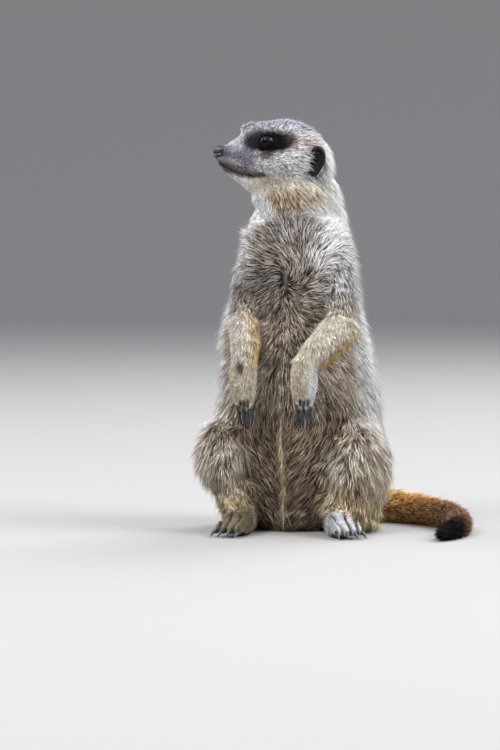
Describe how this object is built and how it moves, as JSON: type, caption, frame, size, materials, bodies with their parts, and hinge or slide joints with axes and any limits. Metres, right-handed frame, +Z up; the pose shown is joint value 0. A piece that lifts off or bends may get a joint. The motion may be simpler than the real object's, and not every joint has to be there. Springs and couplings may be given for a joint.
{
  "type": "meerkat",
  "caption": "Life-size still meerkat sitting upright on its haunches, head turned to its right, forelegs hanging, tail laid round its side.",
  "frame": {"origin": "on the floor, under the middle of the whole animal's box", "axes": "+Z up, the chest and the feet face -Y, and the animal's left side is +X"},
  "size_m": [0.174, 0.1458, 0.2551],
  "materials": {
    "coat_grizzled": "grizzled grey-brown fur",
    "coat_pale": "short cream fur",
    "coat_ochre": "ochre fur",
    "coat_dark": "short black-brown fur",
    "skin": "matt skin under the coat",
    "nose_leather": "pebbled, slightly moist",
    "eye": "wet, clear and glossy",
    "claw": "slate horn, slightly polished"
  },
  "bodies": {
    "root": {"head": "coat_grizzled", "nose": "nose_leather", "ear_left": "coat_dark", "ear_right": "coat_dark", "eye_left": "eye", "eye_right": "eye", "neck": "coat_pale", "chest": "coat_grizzled", "abdomen": "coat_grizzled", "upper_arm_left": "coat_grizzled", "forearm_left": "coat_pale", "hand_left": "coat_pale", "hand_claw_left_1": "claw", "hand_claw_left_2": "claw", "hand_claw_left_3": "claw", "hand_claw_left_4": "claw", "upper_arm_right": "coat_grizzled", "forearm_right": "coat_pale", "hand_right": "coat_pale", "hand_claw_right_1": "claw", "hand_claw_right_2": "claw", "hand_claw_right_3": "claw", "hand_claw_right_4": "claw", "thigh_left": "coat_grizzled", "shank_left": "coat_ochre", "foot_left": "coat_pale", "foot_claw_left_1": "claw", "foot_claw_left_2": "claw", "foot_claw_left_3": "claw", "foot_claw_left_4": "claw", "thigh_right": "coat_grizzled", "shank_right": "coat_ochre", "foot_right": "coat_pale", "foot_claw_right_1": "claw", "foot_claw_right_2": "claw", "foot_claw_right_3": "claw", "foot_claw_right_4": "claw", "tail_1": "coat_ochre", "tail_2": "coat_ochre", "tail_3": "coat_ochre", "tail_4": "coat_dark"}
  },
  "joints": []
}
